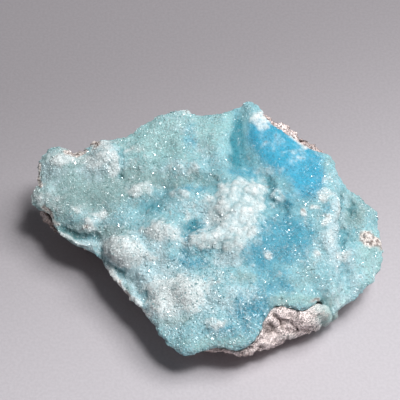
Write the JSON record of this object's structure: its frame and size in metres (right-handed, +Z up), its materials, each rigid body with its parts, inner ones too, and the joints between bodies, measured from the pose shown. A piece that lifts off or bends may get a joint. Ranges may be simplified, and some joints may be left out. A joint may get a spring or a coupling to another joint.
{
  "type": "hemimorphite specimen",
  "caption": "Slab of sea-blue hemimorphite: a lumpy, sugary crystal crust with frosty white mounds on rough brown-grey matrix rock.",
  "frame": {"origin": "centre of the bounding box in X and Y, on the plane of the rock's flat foot", "axes": "+X along the specimen's length, towards the side lobe; +Y towards its thick, highest edge; +Z up from the foot to the crust"},
  "size_m": [0.0714, 0.0536, 0.0231],
  "materials": {
    "hemimorphite": "sugary druse, translucent sea-blue with frosty white mounds",
    "matrix": "rough broken brown-grey rock"
  },
  "bodies": {
    "root": {"hemimorphite_crust": "hemimorphite", "matrix_rock": "matrix"}
  },
  "joints": []
}
